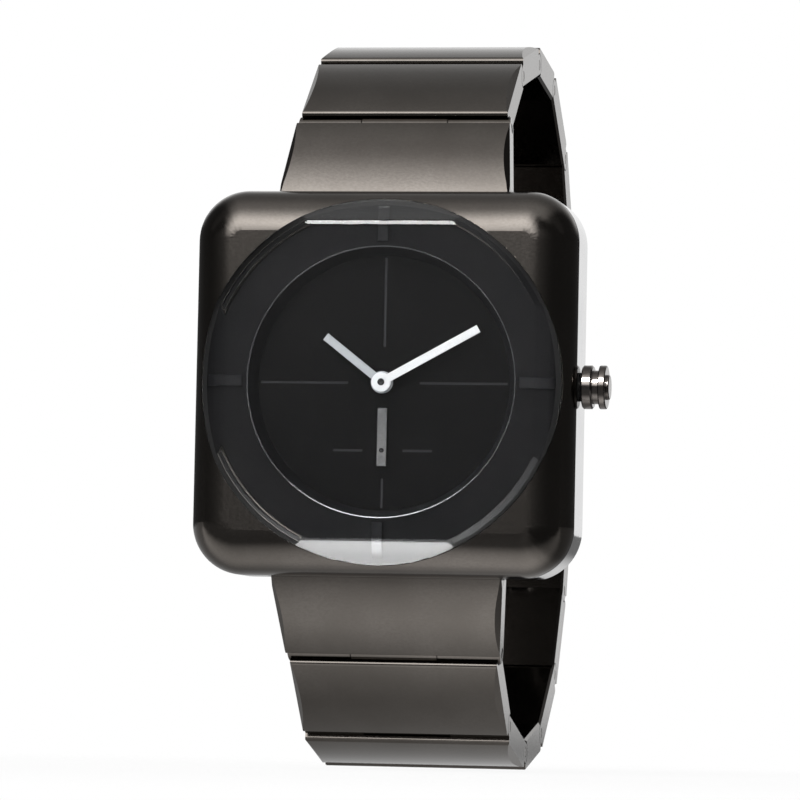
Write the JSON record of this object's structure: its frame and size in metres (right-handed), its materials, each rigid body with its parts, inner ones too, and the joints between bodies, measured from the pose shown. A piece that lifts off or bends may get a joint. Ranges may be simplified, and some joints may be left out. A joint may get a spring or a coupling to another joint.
{
  "type": "wristwatch",
  "caption": "Square black wristwatch with a faceted round crystal, dark dial, small seconds, side crown and folding-clasp link bracelet.",
  "frame": {"origin": "centre of the flat pad on the case back, where the watch lies on the wrist", "axes": "+X towards the crown (3 o'clock), +Z towards 12 o'clock, +Y from the case back towards the clasp, so the dial faces -Y"},
  "size_m": [0.0431, 0.0658, 0.0786],
  "materials": {
    "coated_steel": "satin black coating",
    "polished_steel": "polished",
    "crown_steel": "polished black coating",
    "back_steel": "brushed",
    "pin_steel": "turned",
    "crystal": "polished",
    "seal_rubber": "matte",
    "dial_black": "matte black",
    "ring_black": "satin black",
    "block_black": "gloss black",
    "hand_white": "white paint",
    "hand_grey": "light grey paint",
    "seconds_grey": "mid grey paint",
    "arbor_dark": "dark",
    "movement_brass": "satin",
    "coil_copper": "wound wire",
    "board_green": "matte",
    "cell_steel": "satin",
    "holder_plastic": "matte"
  },
  "bodies": {
    "case": {"bezel": "coated_steel", "middle_case": "polished_steel", "end_pins": "pin_steel", "crystal": "crystal", "crystal_gasket": "seal_rubber", "case_back": "back_steel", "back_gasket": "seal_rubber", "back_screws": "back_steel", "chapter_ring": "ring_black", "hour_blocks": "block_black", "dial": "dial_black", "movement_holder": "holder_plastic", "movement_plate": "movement_brass", "movement_coil": "coil_copper", "battery": "cell_steel", "circuit_board": "board_green", "crown_tube": "pin_steel"},
    "crown_slider": {"setting_lever": "pin_steel"},
    "crown": {"crown": "crown_steel", "stem": "pin_steel", "crown_seal": "seal_rubber"},
    "minute_hand": {"minute_hand": "hand_white", "minute_arbor": "arbor_dark"},
    "hour_hand": {"hour_hand": "hand_grey", "hour_tube": "arbor_dark"},
    "seconds_hand": {"seconds_hand": "seconds_grey", "seconds_arbor": "arbor_dark"},
    "upper_link_1": {"upper_link_1": "coated_steel"},
    "upper_link_2": {"upper_link_2": "coated_steel", "upper_pins_2": "pin_steel"},
    "upper_link_3": {"upper_link_3": "coated_steel"},
    "upper_link_4": {"upper_link_4": "coated_steel", "upper_pins_4": "pin_steel"},
    "upper_link_5": {"upper_link_5": "coated_steel"},
    "upper_link_6": {"upper_link_6": "coated_steel", "upper_pins_6": "pin_steel"},
    "upper_link_7": {"upper_link_7": "coated_steel"},
    "upper_link_8": {"upper_link_8": "coated_steel", "upper_pins_8": "pin_steel"},
    "lower_link_1": {"lower_link_1": "coated_steel"},
    "lower_link_2": {"lower_link_2": "coated_steel", "lower_pins_2": "pin_steel"},
    "lower_link_3": {"lower_link_3": "coated_steel"},
    "lower_link_4": {"lower_link_4": "coated_steel", "lower_pins_4": "pin_steel"},
    "lower_link_5": {"lower_link_5": "coated_steel"},
    "lower_link_6": {"lower_link_6": "coated_steel", "lower_pins_6": "pin_steel"},
    "lower_link_7": {"lower_link_7": "coated_steel"},
    "lower_link_8": {"lower_link_8": "coated_steel", "lower_pins_8": "pin_steel"},
    "upper_arm": {"upper_arm": "back_steel"},
    "centre_blade": {"centre_blade": "back_steel", "blade_pins": "pin_steel"},
    "lower_arm": {"lower_arm": "back_steel"},
    "button_left": {"clasp_button_left": "coated_steel"},
    "button_right": {"clasp_button_right": "coated_steel"}
  },
  "joints": [
    {"name": "crown_pull", "type": "slide", "parent": "case", "child": "crown_slider", "axis": [1, 0, 0], "range_m": [0, 0.001]},
    {"name": "crown_turn", "type": "hinge", "parent": "crown_slider", "child": "crown", "pos_m": [0, -0.004, 0], "axis": [1, 0, 0], "continuous": true},
    {"name": "minute_turn", "type": "hinge", "parent": "case", "child": "minute_hand", "pos_m": [0, 0, 0], "axis": [0, 1, 0], "continuous": true},
    {"name": "hour_turn", "type": "hinge", "parent": "case", "child": "hour_hand", "pos_m": [0, 0, 0], "axis": [0, 1, 0], "continuous": true},
    {"name": "seconds_turn", "type": "hinge", "parent": "case", "child": "seconds_hand", "pos_m": [0, 0, -0.007], "axis": [0, 1, 0], "continuous": true},
    {"name": "upper_hinge_1", "type": "hinge", "parent": "case", "child": "upper_link_1", "pos_m": [0, -0.00285, 0.0187], "axis": [1, 0, 0], "range_deg": [0, 2]},
    {"name": "upper_hinge_2", "type": "hinge", "parent": "upper_link_1", "child": "upper_link_2", "pos_m": [0, 0.0021, 0.02756], "axis": [1, 0, 0], "range_deg": [0, 2]},
    {"name": "upper_hinge_3", "type": "hinge", "parent": "upper_link_2", "child": "upper_link_3", "pos_m": [0, 0.01127, 0.03425], "axis": [1, 0, 0], "range_deg": [0, 2]},
    {"name": "upper_hinge_4", "type": "hinge", "parent": "upper_link_3", "child": "upper_link_4", "pos_m": [0, 0.02232, 0.03686], "axis": [1, 0, 0], "range_deg": [0, 2]},
    {"name": "upper_hinge_5", "type": "hinge", "parent": "upper_link_4", "child": "upper_link_5", "pos_m": [0, 0.03358, 0.03548], "axis": [1, 0, 0], "range_deg": [0, 2]},
    {"name": "upper_hinge_6", "type": "hinge", "parent": "upper_link_5", "child": "upper_link_6", "pos_m": [0, 0.04277, 0.0288], "axis": [1, 0, 0], "range_deg": [0, 2]},
    {"name": "upper_half_open", "type": "hinge", "parent": "upper_link_6", "child": "upper_link_7", "pos_m": [0, 0.04861, 0.01908], "axis": [1, 0, 0], "range_deg": [0, 16]},
    {"name": "upper_hinge_8", "type": "hinge", "parent": "upper_link_7", "child": "upper_link_8", "pos_m": [0, 0.05145, 0.00809], "axis": [1, 0, 0], "range_deg": [0, 13]},
    {"name": "upper_arm_hinge", "type": "hinge", "parent": "upper_link_8", "child": "upper_arm", "pos_m": [0, 0.04917, 0.00135], "axis": [1, 0, 0], "range_deg": [0, 6]},
    {"name": "blade_hinge", "type": "hinge", "parent": "upper_arm", "child": "centre_blade", "pos_m": [0, 0.0462, 0.0165], "axis": [1, 0, 0], "range_deg": [-42, 0]},
    {"name": "lower_arm_hinge", "type": "hinge", "parent": "centre_blade", "child": "lower_arm", "pos_m": [0, 0.0462, -0.0165], "axis": [1, 0, 0], "range_deg": [0, 1.2]},
    {"name": "lower_hinge_1", "type": "hinge", "parent": "case", "child": "lower_link_1", "pos_m": [0, -0.00285, -0.0187], "axis": [-1, 0, 0], "range_deg": [0, 20]},
    {"name": "lower_hinge_2", "type": "hinge", "parent": "lower_link_1", "child": "lower_link_2", "pos_m": [0, 0.00222, -0.02749], "axis": [-1, 0, 0], "range_deg": [0, 22.8]},
    {"name": "lower_hinge_3", "type": "hinge", "parent": "lower_link_2", "child": "lower_link_3", "pos_m": [0, 0.01063, -0.03511], "axis": [-1, 0, 0], "range_deg": [0, 33.5]},
    {"name": "lower_hinge_4", "type": "hinge", "parent": "lower_link_3", "child": "lower_link_4", "pos_m": [0, 0.02166, -0.0378], "axis": [-1, 0, 0], "range_deg": [0, 29.2]},
    {"name": "lower_hinge_5", "type": "hinge", "parent": "lower_link_4", "child": "lower_link_5", "pos_m": [0, 0.03282, -0.03573], "axis": [-1, 0, 0], "range_deg": [0, 29.5]},
    {"name": "lower_hinge_6", "type": "hinge", "parent": "lower_link_5", "child": "lower_link_6", "pos_m": [0, 0.04212, -0.02922], "axis": [-1, 0, 0], "range_deg": [0, 27.5]},
    {"name": "lower_hinge_7", "type": "hinge", "parent": "lower_link_6", "child": "lower_link_7", "pos_m": [0, 0.04822, -0.01965], "axis": [-1, 0, 0], "range_deg": [0, 20.5]},
    {"name": "lower_hinge_8", "type": "hinge", "parent": "lower_link_7", "child": "lower_link_8", "pos_m": [0, 0.05153, -0.0088], "axis": [-1, 0, 0], "range_deg": [0, 21]},
    {"name": "button_left_press", "type": "slide", "parent": "upper_link_8", "child": "button_left", "axis": [1, 0, 0], "range_m": [0, 0.0004], "stiffness_N_per_m": 60},
    {"name": "button_right_press", "type": "slide", "parent": "upper_link_8", "child": "button_right", "axis": [-1, 0, 0], "range_m": [0, 0.0004], "stiffness_N_per_m": 60}
  ],
  "couplings": [
    {"joint": "hour_turn", "follows": "minute_turn", "ratio": 0.083333},
    {"joint": "seconds_turn", "follows": "minute_turn", "ratio": 60},
    {"joint": "upper_hinge_1", "follows": "upper_half_open", "ratio": 0.075},
    {"joint": "upper_hinge_2", "follows": "upper_half_open", "ratio": 0.0625},
    {"joint": "upper_hinge_3", "follows": "upper_half_open", "ratio": 0.0625},
    {"joint": "upper_hinge_4", "follows": "upper_half_open", "ratio": 0.0625},
    {"joint": "upper_hinge_5", "follows": "upper_half_open", "ratio": 0.0625},
    {"joint": "upper_hinge_6", "follows": "upper_half_open", "ratio": 0.0625},
    {"joint": "upper_hinge_8", "follows": "upper_half_open", "ratio": 0.75},
    {"joint": "upper_arm_hinge", "follows": "upper_half_open", "ratio": 0.3125},
    {"joint": "blade_hinge", "follows": "upper_half_open", "ratio": -2.45},
    {"joint": "lower_arm_hinge", "follows": "upper_half_open", "ratio": 0.0625}
  ]
}
